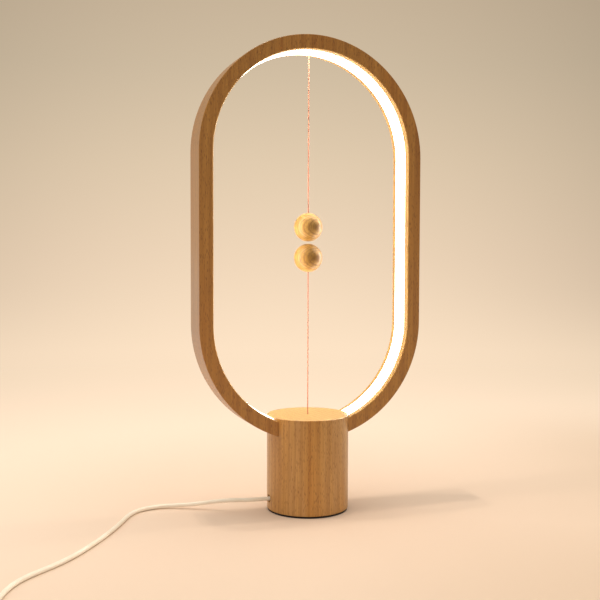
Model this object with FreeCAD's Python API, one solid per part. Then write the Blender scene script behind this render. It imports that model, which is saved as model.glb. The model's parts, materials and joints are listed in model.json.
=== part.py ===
import FreeCAD, Part
import math
import os

from FreeCAD import Vector

# Table lamp with an oval wooden frame on a round wooden base. Two balls with magnets in them hang and
# float inside the frame; the lower one pulls a switch in the base through its string.
# Millimetres. The origin is the centre of the foot on the table, +Z up, the frame lies in the XZ plane.

# Oval frame
lamp_height = 401.0
ring_width = 198.0
ring_wall = 12.0
ring_depth = 30.0
ring_edge_round = 0.8
tenon_inner_x = 15.0
ring_screw_hole_depth = 6.8

# Groove on the inside of the frame, for the light strip and its cover
diffuser_width = 17.0
diffuser_thickness = 2.0
diffuser_crown = 0.5
groove_clearance = 0.05
led_groove_width = 12.0
led_groove_depth = 3.4
led_strip_width = 10.0
led_strip_thickness = 0.3
led_chip_length = 2.8
led_chip_width = 3.5
led_chip_height = 0.8
led_pitch = 16.6

# Base
base_diameter = 70.0
base_height = 81.6
base_edge_round = 0.5
rim_cover = 0.9
foot_thickness = 1.6
foot_inset = 0.7
cavity_diameter = 50.0
roof_below_ring = 3.5
mortise_clearance = 0.15
mortise_end_gap = 4.5

# Bottom cover and ballast
cover_thickness = 2.5
cover_diameter = 61.6
cover_clearance = 0.2
cover_screw_circle = 56.0
cover_screw_length = 12.0
ballast_diameter = 49.0
ballast_height = 18.0
ballast_slot_width = 16.0
ballast_slot_end_x = -8.0
ballast_screw_circle = 34.0
ballast_screw_length = 9.0

# Balls, magnets and strings
ball_diameter = 24.0
ball_gap = 2.05
upper_string_length = 135.3
string_diameter = 1.0
ball_string_hole = 1.6
magnet_diameter = 10.0
magnet_thickness = 5.0
magnet_clearance = 0.1
ball_plug_thickness = 3.0
knot_diameter = 3.4
ball_knot_diameter = 2.8
string_throat_diameter = 3.0
string_flare_angle = 35.0
knot_seat_gap = 0.25
piece_gap = 0.1

# Pull switch
switch_travel = 3.0
string_guide_length = 5.0
string_guide_diameter = 1.8
switch_bore_diameter = 14.0
housing_diameter = 13.6
housing_wall = 2.3
housing_cap = 3.0
flange_diameter = 22.0
flange_thickness = 2.0
flange_screw_radius = 9.0
piston_thickness = 4.0
piston_clearance = 0.2
piston_drop = 5.4
stem_diameter = 4.0
stem_end_diameter = 3.0
stem_below_disc = 1.6
bush_clearance = 0.15
spring_wire = 0.5
spring_mean_diameter = 6.4
spring_turns = 5
contact_disc_diameter = 12.0
contact_disc_thickness = 0.9
contact_thickness = 0.5
contact_width_angle = 50.0
disc_clip_diameter = 6.4
disc_clip_thickness = 0.6
disc_clip_groove = 0.4

# Circuit board
board_diameter = 36.0
board_thickness = 1.6
board_drop = 6.0
board_hole_diameter = 6.4
spacer_diameter = 4.5
spacer_x = 6.5
spacer_y = 13.0
connector_width = 6.0
connector_height = 5.0

# Screws: shank diameter, head diameter and head height of each size used
ring_screw_size = (2.5, 5.0, 1.6)
flange_screw_size = (1.8, 3.4, 1.2)
board_screw_size = (1.8, 3.6, 1.3)
cover_screw_size = (2.5, 4.6, 1.5)
ballast_screw_size = (3.0, 5.4, 1.6)
clamp_screw_size = (2.0, 3.6, 1.2)
screw_hole_clearance = 0.2
ring_screw_x = 19.0
ring_screw_y = 11.0
flange_screw_bite = 5.0
board_screw_bite = 5.0

# Lead and its fittings
cord_diameter = 3.5
cord_hole_height = 11.0
cord_hole_diameter = 6.8
grommet_recess = 1.5
grommet_clearance = 0.1
grommet_flange_diameter = 9.6
grommet_flange_thickness = 1.5
clamp_x = -19.5
clamp_length = 6.0
clamp_width = 14.0
clamp_thickness = 3.0
clamp_screw_spacing = 9.0
inner_lead_end_x = -15.2
lead_wire_straight = 0.5
lead_wire_bend = 3.5
wire_diameter = 1.2
wire_spacing = 1.8
wire_bend = 2.0

# Free lead on the table: chosen points between the hole in the base and the coil, and the coil itself
cord_lift = 0.05
cord_route = [
    (-50.0, 0.0, 11.0),
    (-71.0, 14.0, 9.2),
    (-95.0, 30.0, 3.4),
    (-122.0, 41.0, 1.8),
    (-146.0, 32.0, 1.8),
    (-163.0, -5.0, 1.8),
    (-187.0, -45.0, 1.8),
    (-213.0, -80.0, 1.8),
    (-248.0, -108.0, 1.8),
]
coil_centre = (-297.0, -168.0)
coil_start_angle = 162.0
coil_lead_in = 30.0
coil_floor_turn = 0.5
coil_layers = 4
coil_turns_per_layer = 2
coil_pitch = 4.1
coil_mid_radius = 19.6

# Plug at the end of the lead
plug_length = 24.0
plug_width = 15.6
plug_height = 8.0
plug_edge_round = 1.6
relief_length = 12.0
relief_end_diameter = 4.6
relief_start_diameter = 6.6
shell_width = 12.0
shell_height = 4.5
shell_length = 14.0
shell_wall = 0.35
shell_root = 4.0
insert_thickness = 1.9
contact_strip_width = 1.1
contact_strip_length = 8.0
contact_strip_thickness = 0.2
contact_strip_pitch = 2.2
tail_run = 32.0

# Worked out from the sizes above
ring_radius = ring_width / 2
ring_inner_radius = ring_radius - ring_wall
base_radius = base_diameter / 2
cavity_radius = cavity_diameter / 2
# The frame's inner face runs into the base's rim with rim_cover of wood over it.
lower_arc_z = base_height - rim_cover + math.sqrt(ring_inner_radius ** 2 - base_radius ** 2)
upper_arc_z = lamp_height - ring_radius
cavity_top = lower_arc_z - ring_radius - roof_below_ring
cover_bottom = foot_thickness
cover_top = cover_bottom + cover_thickness
diffuser_seat = ring_wall - diffuser_thickness - groove_clearance
led_seat = diffuser_seat - led_groove_depth
mortise_end_x = tenon_inner_x - mortise_end_gap
string_radius = string_diameter / 2
cord_radius = cord_diameter / 2
cord_rest_z = cord_radius + cord_lift
diffuser_back_z = lamp_height - ring_wall + diffuser_thickness
knot_radius = knot_diameter / 2
throat_radius = string_throat_diameter / 2
pivot_z = diffuser_back_z + math.sqrt(knot_radius ** 2 - throat_radius ** 2) + knot_seat_gap
ball_radius = ball_diameter / 2
upper_ball_z = lamp_height - ring_wall - upper_string_length - ball_radius
lower_ball_z = upper_ball_z - ball_diameter - ball_gap
ball_knot_radius = ball_knot_diameter / 2
# Depths into a ball, from its facing pole
magnet_depth = ball_plug_thickness + magnet_clearance
knot_space = ball_knot_diameter
pocket_depth = magnet_depth + magnet_thickness + magnet_clearance + knot_space
knot_rise = math.sqrt(ball_knot_radius ** 2 - (ball_string_hole / 2) ** 2) + piece_gap
ball_knot_depth = pocket_depth - knot_rise

# Heights inside the base
connector_x = inner_lead_end_x + lead_wire_straight + lead_wire_bend
bore_top = base_height - string_guide_length
housing_top = bore_top - piece_gap
housing_bottom = cavity_top - flange_thickness
housing_bore_radius = housing_diameter / 2 - housing_wall
spring_top = housing_top - housing_cap
piston_top = spring_top - piston_drop
piston_bottom = piston_top - piston_thickness
# The bush is the stop under the piston.
bush_top = piston_bottom - switch_travel - piece_gap
board_top = cavity_top - board_drop
board_bottom = board_top - board_thickness
contact_bottom = board_bottom - contact_thickness
disc_top = contact_bottom - piece_gap
disc_bottom = disc_top - contact_disc_thickness
clip_bottom = disc_bottom - disc_clip_thickness
stem_bottom = clip_bottom - stem_below_disc


def at(x, y, z, shape):
    moved = shape.copy()
    moved.translate(Vector(x, y, z))
    return moved


def cylinder(radius, bottom, top, x=0.0, y=0.0):
    return Part.makeCylinder(radius, top - bottom, Vector(x, y, bottom))


def cylinder_x(radius, start_x, end_x, y=0.0, z=0.0):
    return Part.makeCylinder(radius, end_x - start_x, Vector(start_x, y, z), Vector(1, 0, 0))


def block(x_range, y_range, z_range):
    size = [pair[1] - pair[0] for pair in (x_range, y_range, z_range)]
    return Part.makeBox(*size, Vector(x_range[0], y_range[0], z_range[0]))


def ring_of(outer_radius, inner_radius, bottom, top):
    return cylinder(outer_radius, bottom, top).cut(cylinder(inner_radius, bottom - 1, top + 1))


# Oval prism: the frame's outline drawn in by inset, depth thick, centred on the XZ plane.
def oval_prism(inset, depth):
    radius = ring_radius - inset
    y = -depth / 2
    top_left = Vector(-radius, y, upper_arc_z)
    top_right = Vector(radius, y, upper_arc_z)
    low_right = Vector(radius, y, lower_arc_z)
    low_left = Vector(-radius, y, lower_arc_z)
    edges = [
        Part.Arc(top_left, Vector(0, y, upper_arc_z + radius), top_right).toShape(),
        Part.LineSegment(top_right, low_right).toShape(),
        Part.Arc(low_right, Vector(0, y, lower_arc_z - radius), low_left).toShape(),
        Part.LineSegment(low_left, top_left).toShape(),
    ]
    return Part.Face(Part.Wire(edges)).extrude(Vector(0, depth, 0))


def oval_band(outer_inset, inner_inset, depth):
    return oval_prism(outer_inset, depth).cut(oval_prism(inner_inset, depth + 2))


# Space between the two ends of the frame, inside the base.
def open_bottom(end_x):
    return block((-end_x, end_x), (-ring_depth, ring_depth), (0, lower_arc_z - ring_inner_radius / 2))


def ring_screw_places():
    return [(sx * ring_screw_x, sy * ring_screw_y) for sx in (-1, 1) for sy in (-1, 1)]


# Height of the frame's outer face over a place beside the axis, low in the base.
def ring_underside_z(x):
    return lower_arc_z - math.sqrt(ring_radius ** 2 - x ** 2)


def make_ring_frame():
    band = oval_band(0, ring_wall, ring_depth)
    face_y = ring_depth / 2
    rims = [edge for edge in band.Edges if abs(abs(edge.CenterOfMass.y) - face_y) < 0.01
            and abs(edge.BoundBox.YLength) < 0.01]
    band = band.makeFillet(ring_edge_round, rims)
    cover_groove = oval_prism(diffuser_seat, diffuser_width + 2 * groove_clearance)
    band = band.cut(cover_groove).cut(oval_prism(led_seat, led_groove_width))
    band = band.cut(open_bottom(tenon_inner_x))
    hole_radius = ring_screw_size[0] / 2 + screw_hole_clearance / 2
    for x, y in ring_screw_places():
        hole_top = ring_underside_z(x) + ring_screw_hole_depth
        band = band.cut(cylinder(hole_radius, cavity_top, hole_top, x, y))
    return band


# The cover stands out of its groove with rounded sides. Inside the base it is flush with the frame.
def make_diffuser():
    crown_inset = ring_wall + diffuser_crown
    strip = oval_band(ring_wall - diffuser_thickness, crown_inset, diffuser_width)
    sides = [edge for edge in strip.Edges if abs(edge.BoundBox.YLength) < 0.01
             and max(abs(edge.BoundBox.XMin), abs(edge.BoundBox.XMax)) < ring_radius - crown_inset + 0.01]
    strip = strip.makeFillet(diffuser_crown, sides)
    stop = base_radius + mortise_clearance
    low_end = block((-stop, stop), (-ring_depth, ring_depth), (0, lower_arc_z - ring_inner_radius / 2))
    strip = strip.cut(low_end.common(oval_prism(ring_wall, ring_depth)))
    strip = strip.cut(open_bottom(tenon_inner_x))
    # The string's hole flares downwards, so that the string can swing without rubbing.
    below = diffuser_thickness + diffuser_crown + 0.5
    mouth_radius = throat_radius + below * math.tan(math.radians(string_flare_angle))
    flare = Part.makeCone(mouth_radius, throat_radius, below, Vector(0, 0, diffuser_back_z - below))
    throat = cylinder(throat_radius, diffuser_back_z - below, diffuser_back_z + 1)
    return strip.cut(flare).cut(throat)


def make_led_strip():
    strip = oval_band(led_seat, led_seat + led_strip_thickness, led_strip_width)
    return strip.cut(open_bottom(tenon_inner_x))


# Point and inward direction on the oval at a distance from its top, measured along the oval.
def oval_place(inset, distance, side):
    radius = ring_radius - inset
    quarter = radius * math.pi / 2
    straight = upper_arc_z - lower_arc_z
    if distance <= quarter:
        angle = math.pi / 2 - distance / radius
        return Vector(side * radius * math.cos(angle), 0, upper_arc_z + radius * math.sin(angle)), angle
    if distance <= quarter + straight:
        return Vector(side * radius, 0, upper_arc_z - (distance - quarter)), 0.0
    angle = -(distance - quarter - straight) / radius
    return Vector(side * radius * math.cos(angle), 0, lower_arc_z + radius * math.sin(angle)), angle


def make_led_chips():
    chip_inset = led_seat + led_strip_thickness + 0.02
    radius = ring_radius - chip_inset
    half_length = radius * math.pi / 2 + (upper_arc_z - lower_arc_z)
    half_length += radius * math.acos(tenon_inner_x / radius)
    chips = []
    count = int((half_length - led_pitch / 2 - led_chip_length) / led_pitch) + 1
    for side in (-1, 1):
        for step in range(count):
            place, angle = oval_place(chip_inset, (step + 0.5) * led_pitch, side)
            chip = Part.makeBox(led_chip_height, led_chip_width, led_chip_length,
                                Vector(-led_chip_height, -led_chip_width / 2, -led_chip_length / 2))
            if side < 0:
                chip.rotate(Vector(0, 0, 0), Vector(0, 0, 1), 180)
            chip.rotate(Vector(0, 0, 0), Vector(0, 1, 0), -side * math.degrees(angle))
            chips.append(at(place.x, place.y, place.z, chip))
    return Part.makeCompound(chips)


def make_base_body():
    body = cylinder(base_radius, foot_thickness, base_height)
    rims = [edge for edge in body.Edges if abs(edge.BoundBox.ZLength) < 0.01]
    body = body.makeFillet(base_edge_round, rims)
    body = body.cut(cylinder(cover_diameter / 2 + cover_clearance, foot_thickness - 1, cover_top))
    body = body.cut(cylinder(cavity_radius, foot_thickness, cavity_top))
    body = body.cut(cylinder(switch_bore_diameter / 2, cavity_top - 1, bore_top))
    body = body.cut(cylinder(string_guide_diameter / 2, bore_top - 1, base_height + 1))
    mortise_depth = ring_depth + 2 * mortise_clearance
    mortises = oval_band(-mortise_clearance, ring_wall + mortise_clearance, mortise_depth)
    reach = base_radius + 1
    for side in (-1, 1):
        x_range = sorted((side * mortise_end_x, side * reach))
        body = body.cut(mortises.common(block(x_range, (-ring_depth, ring_depth), (0, base_height))))
    # Way for the light strip's wires, from the right mortise down to the board
    body = body.cut(cylinder(wire_hole_radius(), cavity_top - 1, wire_entry_z(), wire_x(), 0))
    ring_hole = ring_screw_size[0] / 2 + screw_hole_clearance / 2
    for x, y in ring_screw_places():
        body = body.cut(cylinder(ring_hole, cavity_top - 1, ring_underside_z(x) + 1, x, y))
    for x, y in flange_screw_places():
        body = body.cut(screw_hole(flange_screw_size, cavity_top - 1, cavity_top + flange_screw_bite, x, y))
    for x, y in spacer_places():
        body = body.cut(screw_hole(board_screw_size, cavity_top - 1, cavity_top + board_screw_bite, x, y))
    for x, y in circle_places(cover_screw_circle, 4, 45.0):
        top = cover_bottom + cover_screw_length
        body = body.cut(screw_hole(cover_screw_size, cover_top - 1, top, x, y))
    hole = cylinder_x(cord_hole_diameter / 2, -base_radius - 1, -cavity_radius + 2, 0, cord_hole_height)
    return body.cut(hole)


def screw_hole(size, bottom, top, x, y):
    return cylinder(size[0] / 2 + screw_hole_clearance / 2, bottom, top + screw_hole_clearance, x, y)


def circle_places(circle, count, first_angle):
    angles = [math.radians(first_angle + 360.0 * k / count) for k in range(count)]
    return [(circle / 2 * math.cos(a), circle / 2 * math.sin(a)) for a in angles]


def flange_screw_places():
    return [(0.0, -flange_screw_radius), (0.0, flange_screw_radius)]


def spacer_places():
    return [(sx * spacer_x, sy * spacer_y) for sx in (-1, 1) for sy in (-1, 1)]


def clamp_screw_places():
    return [(clamp_x, -clamp_screw_spacing / 2), (clamp_x, clamp_screw_spacing / 2)]


# Screw pointing up: a pan head under its seat and a shank with a pointed end.
def screw_up(size, seat_z, length, x, y):
    shank_radius, head_radius, head_height = size[0] / 2, size[1] / 2, size[2]
    point = shank_radius
    rise = head_height * 0.45
    outline = [
        (0, -head_height), (head_radius * 0.72, -head_height), (head_radius, -head_height + rise),
        (head_radius, 0), (shank_radius, 0), (shank_radius, length - point), (0, length),
    ]
    return at(x, y, seat_z, turned(outline))


# Solid of revolution about Z, from radius and height pairs.
def turned(outline):
    points = [Vector(radius, 0, height) for radius, height in outline]
    wire = Part.makePolygon(points + [points[0]])
    return Part.Face(wire).revolve(Vector(0, 0, 0), Vector(0, 0, 1), 360)


def make_ring_screws():
    bite = ring_screw_hole_depth - 2 * screw_hole_clearance
    screws = [screw_up(ring_screw_size, cavity_top, ring_underside_z(x) - cavity_top + bite, x, y)
              for x, y in ring_screw_places()]
    return Part.makeCompound(screws)


def make_foot_pad():
    return cylinder(base_radius - foot_inset, 0, foot_thickness)


# Moulded cover: a disc let into the base, with a saddle for the lead and sunk holes for its screws.
def make_bottom_cover():
    cover = cylinder(cover_diameter / 2, cover_bottom, cover_top)
    saddle = block((clamp_x - clamp_length / 2, clamp_x + clamp_length / 2),
                   (-clamp_width / 2, clamp_width / 2), (cover_top - 0.5, cord_hole_height))
    cover = cover.fuse(saddle).removeSplitter()
    groove = cylinder_x(cord_radius + piece_gap, clamp_x - clamp_length, clamp_x + clamp_length,
                        0, cord_hole_height)
    cover = cover.cut(groove)
    for x, y in circle_places(cover_screw_circle, 4, 45.0):
        cover = cover.cut(sunk_hole(cover_screw_size, x, y))
    for x, y in circle_places(ballast_screw_circle, 3, 0.0):
        cover = cover.cut(sunk_hole(ballast_screw_size, x, y))
    for x, y in clamp_screw_places():
        hole = cylinder((clamp_screw_size[0] + screw_hole_clearance) / 2, cover_top, cord_hole_height + 1, x, y)
        cover = cover.cut(hole)
    return cover


def sunk_hole(size, x, y):
    through = cylinder((size[0] + screw_hole_clearance) / 2, cover_bottom - 1, cover_top + 1, x, y)
    head = cylinder((size[1] + screw_hole_clearance) / 2, cover_bottom - 1, cover_bottom + size[2], x, y)
    return through.fuse(head)


def screws_from_below(size, places, length):
    return Part.makeCompound([screw_up(size, cover_bottom + size[2], length - size[2], x, y) for x, y in places])


def make_ballast():
    weight = cylinder(ballast_diameter / 2, cover_top, cover_top + ballast_height)
    slot = block((-ballast_diameter, ballast_slot_end_x), (-ballast_slot_width / 2, ballast_slot_width / 2),
                 (cover_top - 1, cover_top + ballast_height + 1))
    weight = weight.cut(slot)
    for x, y in circle_places(ballast_screw_circle, 3, 0.0):
        hole_top = cover_bottom + ballast_screw_length + screw_hole_clearance
        weight = weight.cut(cylinder((ballast_screw_size[0] + screw_hole_clearance) / 2, cover_top - 1,
                                     hole_top, x, y))
    top_rims = [edge for edge in weight.Edges
                if abs(edge.BoundBox.ZMin - cover_top - ballast_height) < 0.01]
    return weight.makeChamfer(0.6, top_rims)


# One ball with a magnet pocket that opens at its facing pole (facing is 1 for up, -1 for down).
def make_ball(centre_z, facing):
    def level(depth):
        return facing * (ball_radius - depth)

    ball = Part.makeSphere(ball_radius)
    pocket_radius = magnet_diameter / 2 + magnet_clearance
    low, high = sorted((level(pocket_depth), level(-1)))
    ball = ball.cut(cylinder(pocket_radius, low, high))
    low, high = sorted((level(pocket_depth - 1), level(ball_diameter + 1)))
    ball = ball.cut(cylinder(ball_string_hole / 2, low, high))
    low, high = sorted((level(magnet_depth), level(magnet_depth + magnet_thickness)))
    magnet = cylinder(magnet_diameter / 2, low, high)
    sharp = [edge for edge in magnet.Edges if abs(edge.BoundBox.ZLength) < 0.01]
    magnet = magnet.makeChamfer(0.3, sharp)
    low, high = sorted((level(ball_plug_thickness), level(-1)))
    plug = cylinder(magnet_diameter / 2, low, high).common(Part.makeSphere(ball_radius))
    return [at(0, 0, centre_z, shape) for shape in (ball, magnet, plug)]


def make_upper_string():
    knot_z = upper_ball_z - ball_radius + ball_knot_depth
    string = cylinder(string_radius, knot_z, pivot_z - knot_radius - piece_gap)
    knot = at(0, 0, knot_z, Part.makeSphere(ball_knot_radius))
    return string.fuse(knot).removeSplitter()


def make_lower_string():
    knot_z = lower_ball_z + ball_radius - ball_knot_depth
    string = cylinder(string_radius, base_height, knot_z)
    knot = at(0, 0, knot_z, Part.makeSphere(ball_knot_radius))
    return string.fuse(knot).removeSplitter()


# Switch housing: a tube up in the base's bore, with a flange under the roof of the cavity.
def make_switch_housing():
    tube = cylinder(housing_diameter / 2, housing_bottom, housing_top)
    flange = cylinder(flange_diameter / 2, housing_bottom, cavity_top)
    housing = tube.fuse(flange).removeSplitter()
    housing = housing.cut(cylinder(housing_bore_radius, housing_bottom - 1, spring_top))
    housing = housing.cut(cylinder(string_guide_diameter / 2, spring_top - 1, housing_top + 1))
    for x, y in flange_screw_places():
        housing = housing.cut(screw_hole(flange_screw_size, housing_bottom - 1, cavity_top + 1, x, y))
    return housing


# Plunger: a piston under the spring, on a stem that carries the contact disc.
def make_plunger():
    piston_radius = housing_bore_radius - piston_clearance
    stem_radius = stem_diameter / 2
    end_radius = stem_end_diameter / 2
    groove_radius = end_radius - disc_clip_groove
    clip_top = disc_bottom
    return turned([
        (0, stem_bottom), (end_radius, stem_bottom), (end_radius, clip_bottom),
        (groove_radius, clip_bottom), (groove_radius, clip_top), (end_radius, clip_top),
        (end_radius, disc_top), (stem_radius, disc_top), (stem_radius, piston_bottom),
        (piston_radius, piston_bottom), (piston_radius, piston_top), (0, piston_top),
    ])


def make_guide_bush():
    outer = housing_bore_radius - piece_gap / 2
    return ring_of(outer, stem_diameter / 2 + bush_clearance, housing_bottom, bush_top)


def make_contact_disc():
    return ring_of(contact_disc_diameter / 2, stem_end_diameter / 2 + piece_gap / 2, disc_bottom, disc_top)


def make_disc_clip():
    clip = ring_of(disc_clip_diameter / 2, stem_end_diameter / 2 - disc_clip_groove + piece_gap / 2,
                   clip_bottom, disc_bottom)
    mouth = stem_end_diameter / 2 - disc_clip_groove
    return clip.cut(block((0, disc_clip_diameter), (-mouth, mouth), (clip_bottom - 1, disc_bottom + 1)))


def make_fixed_contacts():
    blank = ring_of(contact_disc_diameter / 2 + 0.5, board_hole_diameter / 2, contact_bottom, board_bottom)
    contacts = []
    for middle in (0.0, 180.0):
        wedge = Part.makeCylinder(contact_disc_diameter, 2, Vector(0, 0, contact_bottom - 0.5),
                                  Vector(0, 0, 1), 2 * contact_width_angle)
        wedge.rotate(Vector(0, 0, 0), Vector(0, 0, 1), middle - contact_width_angle)
        contacts.append(blank.common(wedge))
    return Part.makeCompound(contacts)


# Arc that leaves start along direction and ends at end, or a line if they are in line.
def arc_along(start, direction, end):
    chord = end.sub(start)
    sideways = chord.sub(direction * chord.dot(direction))
    if sideways.Length < 1e-7:
        return Part.LineSegment(start, end).toShape()
    side = sideways * (1.0 / sideways.Length)
    radius = chord.dot(chord) / (2 * chord.dot(side))
    centre = start.add(side * radius)
    half = (start.sub(centre)).add(end.sub(centre))
    middle = centre.add(half * (radius / half.Length))
    return Part.Arc(start, middle, end).toShape()


# Two arcs that join one point and direction smoothly to another.
def two_arcs(start, start_way, end, end_way):
    gap = end.sub(start)
    ways = start_way.add(end_way)
    a = 2 * (1 - start_way.dot(end_way))
    b = 2 * gap.dot(ways)
    c = -gap.dot(gap)
    reach = -c / b if abs(a) < 1e-9 else (-b + math.sqrt(b * b - 4 * a * c)) / (2 * a)
    first = start.add(start_way * reach)
    second = end.sub(end_way * reach)
    middle = first.add(second) * 0.5
    way = second.sub(first)
    way.normalize()
    return [arc_along(start, start_way, middle), arc_along(middle, way, end)]


def pipe(edges, radius):
    path = Part.Wire(edges)
    start = edges[0].Vertexes[0].Point
    way = edges[0].tangentAt(edges[0].FirstParameter)
    profile = Part.Wire([Part.makeCircle(radius, start, way)])
    shell = Part.BRepOffsetAPI.MakePipeShell(path)
    shell.add(profile)
    shell.build()
    shell.makeSolid()
    return shell.shape()


# Edges through a route's points, with an arc at each corner as large as its two runs allow.
def rounded_route(points, name):
    points = [Vector(*point) for point in points]
    share = 0.45
    edges, radii, last = [], [], points[0]
    for before, corner, after in zip(points, points[1:], points[2:]):
        way_in = corner.sub(before)
        way_out = after.sub(corner)
        shorter = min(way_in.Length, way_out.Length)
        turn = way_in.getAngle(way_out)
        way_in.normalize()
        way_out.normalize()
        reach = share * shorter
        radii.append(reach / math.tan(turn / 2))
        first = corner.sub(way_in * reach)
        second = corner.add(way_out * reach)
        edges.append(Part.LineSegment(last, first).toShape())
        edges.append(arc_along(first, way_in, second))
        last = second
    edges.append(Part.LineSegment(last, points[-1]).toShape())
    print(name, "bend radii", [round(radius, 1) for radius in radii])
    return edges


def tube_along(points, radius, name):
    edges = rounded_route(points, name)
    tube = pipe(edges, radius)
    length = sum(edge.Length for edge in edges)
    print(name, "length", round(length, 1), "volume share", round(tube.Volume / (length * math.pi * radius ** 2), 4))
    return tube, length


def make_return_spring():
    radius = spring_mean_diameter / 2
    half_wire = spring_wire / 2
    low, high = piston_top + half_wire + 0.05, spring_top - half_wire - 0.05
    halves = 2 * spring_turns
    rise = (high - low) / halves
    points, ways = [], []
    slope = math.atan2(rise, math.pi * radius)
    for k in range(halves + 1):
        angle = math.pi * k
        points.append(Vector(radius * math.cos(angle), radius * math.sin(angle), low + rise * k))
        flat = math.cos(slope)
        ways.append(Vector(-math.sin(angle) * flat, math.cos(angle) * flat, math.sin(slope)))
    edges = []
    for k in range(halves):
        edges += two_arcs(points[k], ways[k], points[k + 1], ways[k + 1])
    return pipe(edges, half_wire)


def make_circuit_board():
    board = ring_of(board_diameter / 2, board_hole_diameter / 2, board_bottom, board_top)
    for x, y in spacer_places():
        board = board.cut(screw_hole(board_screw_size, board_bottom - 1, board_top + 1, x, y))
    return board


def make_board_parts():
    def under(x_size, y_size, height, x, y):
        return block((x - x_size / 2, x + x_size / 2), (y - y_size / 2, y + y_size / 2),
                     (board_bottom - height, board_bottom))

    capacitor = cylinder(2.5, board_bottom - 6.0, board_bottom, 10.0, 8.0)
    rims = [edge for edge in capacitor.Edges if abs(edge.BoundBox.ZMax - board_bottom + 6.0) < 0.01]
    capacitor = capacitor.makeFillet(0.5, rims)
    return Part.makeCompound([
        capacitor,
        under(5.0, 4.0, 1.6, 11.0, -6.5),
        under(3.2, 1.6, 0.6, -9.5, 8.5),
        under(3.2, 1.6, 0.6, -9.5, -8.5),
        under(2.0, 1.2, 0.6, 0.0, 9.5),
    ])


def make_lead_connector():
    half = connector_width / 2
    shell = block((connector_x - half, connector_x + half), (-half, half),
                  (board_bottom - connector_height, board_bottom))
    upright = [edge for edge in shell.Edges if edge.BoundBox.ZLength > 1]
    return shell.makeFillet(0.6, upright)


def make_board_spacers():
    hole = board_screw_size[0] / 2 + screw_hole_clearance / 2
    spacers = [at(x, y, 0, ring_of(spacer_diameter / 2, hole, board_top, cavity_top))
               for x, y in spacer_places()]
    return Part.makeCompound(spacers)


def make_board_screws():
    length = board_thickness + board_drop + board_screw_bite
    return Part.makeCompound([screw_up(board_screw_size, board_bottom, length, x, y)
                              for x, y in spacer_places()])


def make_flange_screws():
    length = flange_thickness + flange_screw_bite
    return Part.makeCompound([screw_up(flange_screw_size, housing_bottom, length, x, y)
                              for x, y in flange_screw_places()])


def wire_x():
    return tenon_inner_x - wire_bend - 0.5


def wire_hole_radius():
    return (wire_spacing + wire_diameter) / 2 + 0.7


# Height at which the wires leave the end of the light strip.
def wire_entry_z():
    radius = ring_radius - led_seat - led_strip_thickness / 2
    return lower_arc_z - math.sqrt(radius ** 2 - tenon_inner_x ** 2)


def make_led_wires():
    wires = []
    for side in (-1, 1):
        y = side * wire_spacing / 2
        entry = wire_entry_z()
        start = Vector(tenon_inner_x - piece_gap / 2, y, entry)
        bend_start = Vector(wire_x() + wire_bend, y, entry)
        bend_end = Vector(wire_x(), y, entry - wire_bend)
        edges = [
            Part.LineSegment(start, bend_start).toShape(),
            arc_along(bend_start, Vector(-1, 0, 0), bend_end),
            Part.LineSegment(bend_end, Vector(wire_x(), y, board_top)).toShape(),
        ]
        wires.append(pipe(edges, wire_diameter / 2))
    return Part.makeCompound(wires)


def make_grommet():
    outer = cord_hole_diameter / 2 - grommet_clearance
    sleeve = cylinder_x(outer, grommet_face_x(), -cavity_radius + 1, 0, cord_hole_height)
    flange = cylinder_x(grommet_flange_diameter / 2, -cavity_radius + 0.6,
                        -cavity_radius + 0.6 + grommet_flange_thickness, 0, cord_hole_height)
    grommet = sleeve.fuse(flange).removeSplitter()
    return grommet.cut(cylinder_x(cord_radius + piece_gap, -base_radius, -cavity_radius + 5, 0, cord_hole_height))


def grommet_face_x():
    return -base_radius + grommet_recess


# The lead's jacket ends past its clamp.
def make_inner_lead():
    return cylinder_x(cord_radius, grommet_face_x(), inner_lead_end_x, 0, cord_hole_height)


# Two wires run on from the end of the jacket, up to the connector under the board.
def make_lead_wires():
    wires = []
    for side in (-1, 1):
        y = side * wire_diameter * 0.6
        bend_start = Vector(connector_x - lead_wire_bend, y, cord_hole_height)
        bend_end = Vector(connector_x, y, cord_hole_height + lead_wire_bend)
        edges = [
            Part.LineSegment(Vector(inner_lead_end_x, y, cord_hole_height), bend_start).toShape(),
            arc_along(bend_start, Vector(1, 0, 0), bend_end),
            Part.LineSegment(bend_end, Vector(connector_x, y, board_bottom - connector_height)).toShape(),
        ]
        wires.append(pipe(edges, wire_diameter / 2))
    return Part.makeCompound(wires)


def make_cord_clamp():
    bottom = cord_hole_height + piece_gap
    clamp = block((clamp_x - clamp_length / 2, clamp_x + clamp_length / 2),
                  (-clamp_width / 2, clamp_width / 2), (bottom, bottom + clamp_thickness))
    long_top = [edge for edge in clamp.Edges if abs(edge.BoundBox.ZMin - bottom - clamp_thickness) < 0.01
                and edge.BoundBox.XLength > 1]
    clamp = clamp.makeFillet(1.0, long_top)
    clamp = clamp.cut(cylinder_x(cord_radius + piece_gap, clamp_x - clamp_length, clamp_x + clamp_length,
                                 0, cord_hole_height))
    for x, y in clamp_screw_places():
        hole = cylinder((clamp_screw_size[0] + screw_hole_clearance) / 2, bottom - 1, bottom + clamp_thickness + 1,
                        x, y)
        clamp = clamp.cut(hole)
    return clamp


def make_clamp_screws():
    seat = cord_hole_height + piece_gap + clamp_thickness
    length = seat - cover_top - 0.5
    screws = []
    for x, y in clamp_screw_places():
        screw = screw_up(clamp_screw_size, 0, length, 0, 0)
        screw.rotate(Vector(0, 0, 0), Vector(1, 0, 0), 180)
        screws.append(at(x, y, seat, screw))
    return Part.makeCompound(screws)


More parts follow.
